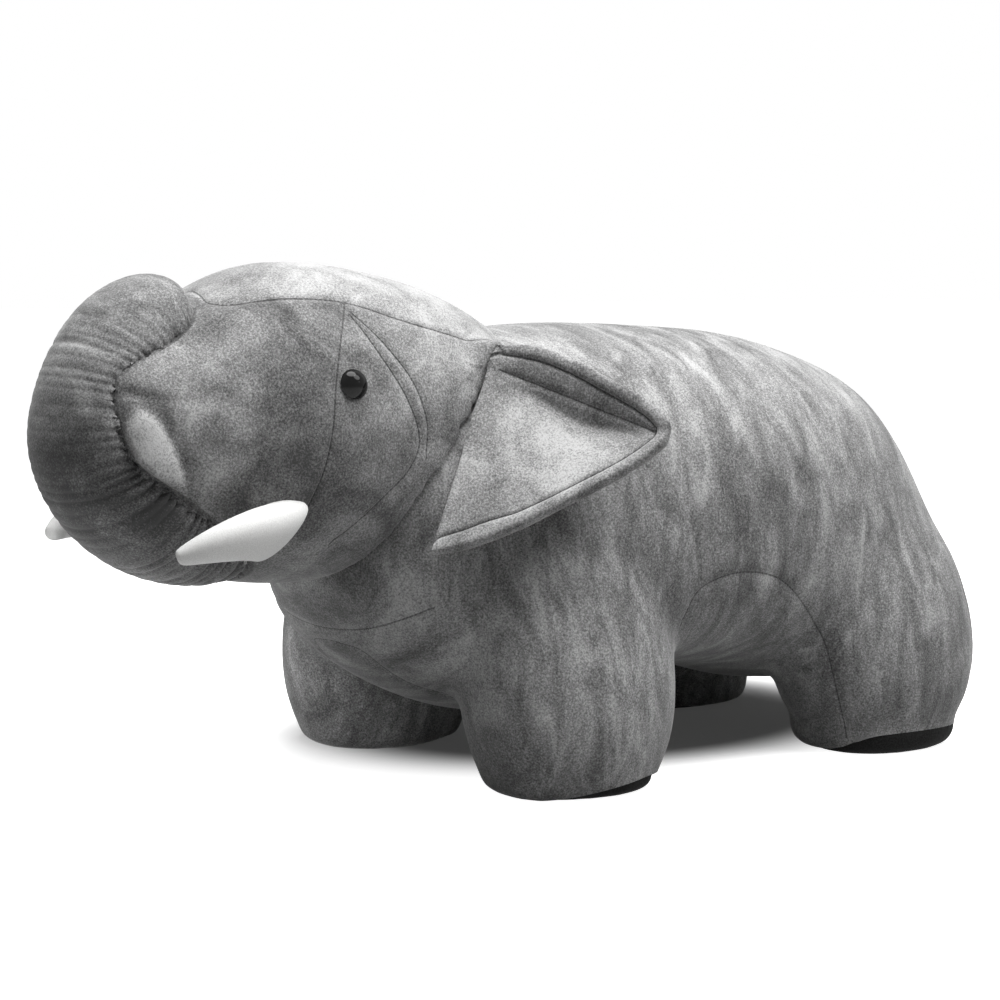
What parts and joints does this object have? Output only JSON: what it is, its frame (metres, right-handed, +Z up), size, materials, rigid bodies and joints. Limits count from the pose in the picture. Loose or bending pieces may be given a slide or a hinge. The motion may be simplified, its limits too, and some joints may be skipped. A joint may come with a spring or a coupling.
{
  "type": "elephant pouf",
  "caption": "Upholstered animal pouf with a flat broad back to sit on, a curled trunk, stuffed tusks and flared ears on a padded wooden frame.",
  "frame": {"origin": "on the floor under the middle of the whole outline", "axes": "+Z up, the elephant faces -Y and its left side is +X"},
  "size_m": [0.501, 0.8597, 0.4341],
  "materials": {
    "suede": "marled grey faux suede with a fine nap",
    "tusk_cloth": "smooth off-white cloth",
    "sole_cloth": "matte black felt-like cloth",
    "eye_plastic": "glossy black",
    "washer_plastic": "moulded natural plastic",
    "frame_wood": "unpainted softwood and plywood",
    "seat_foam": "open-cell foam",
    "fibre_filling": "polyester fibre",
    "screw_steel": "zinc plated"
  },
  "bodies": {
    "root": {"body_cover": "suede", "body_padding": "fibre_filling", "forehead_panel": "suede", "frame_screws": "screw_steel", "front_cross_rail": "frame_wood", "front_left_foot_board": "frame_wood", "front_left_leg_cover": "suede", "front_left_leg_padding": "fibre_filling", "front_left_post": "frame_wood", "front_left_sole": "sole_cloth", "front_right_foot_board": "frame_wood", "front_right_leg_cover": "suede", "front_right_leg_padding": "fibre_filling", "front_right_post": "frame_wood", "front_right_sole": "sole_cloth", "head_cover": "suede", "head_filling": "fibre_filling", "left_eye": "eye_plastic", "left_eye_washer": "washer_plastic", "left_side_rail": "frame_wood", "left_tusk": "tusk_cloth", "neck_beam": "frame_wood", "rear_cross_rail": "frame_wood", "rear_left_foot_board": "frame_wood", "rear_left_leg_cover": "suede", "rear_left_leg_padding": "fibre_filling", "rear_left_post": "frame_wood", "rear_left_sole": "sole_cloth", "rear_right_foot_board": "frame_wood", "rear_right_leg_cover": "suede", "rear_right_leg_padding": "fibre_filling", "rear_right_post": "frame_wood", "rear_right_sole": "sole_cloth", "right_eye": "eye_plastic", "right_eye_washer": "washer_plastic", "right_side_rail": "frame_wood", "right_tusk": "tusk_cloth", "seat_board": "frame_wood", "seat_board_screws": "screw_steel", "seat_foam": "seat_foam", "trunk_cover": "suede", "trunk_filling": "fibre_filling"},
    "left_ear": {"left_ear": "suede"},
    "right_ear": {"right_ear": "suede"},
    "tail": {"tail": "suede"}
  },
  "joints": [
    {"name": "left_ear_flap", "type": "hinge", "parent": "root", "child": "left_ear", "pos_m": [0.108, -0.0725, 0.364], "axis": [0.1805, -0.4777, -0.8598], "range_deg": [-8, 50], "stiffness_Nm_per_rad": 0.3},
    {"name": "right_ear_flap", "type": "hinge", "parent": "root", "child": "right_ear", "pos_m": [-0.108, -0.0725, 0.364], "axis": [0.1805, 0.4777, 0.8598], "range_deg": [-8, 50], "stiffness_Nm_per_rad": 0.3},
    {"name": "tail_swing", "type": "hinge", "parent": "root", "child": "tail", "pos_m": [0, 0.3622, 0.288], "axis": [0, 0.9106, 0.4133], "range_deg": [-35, 35]}
  ]
}
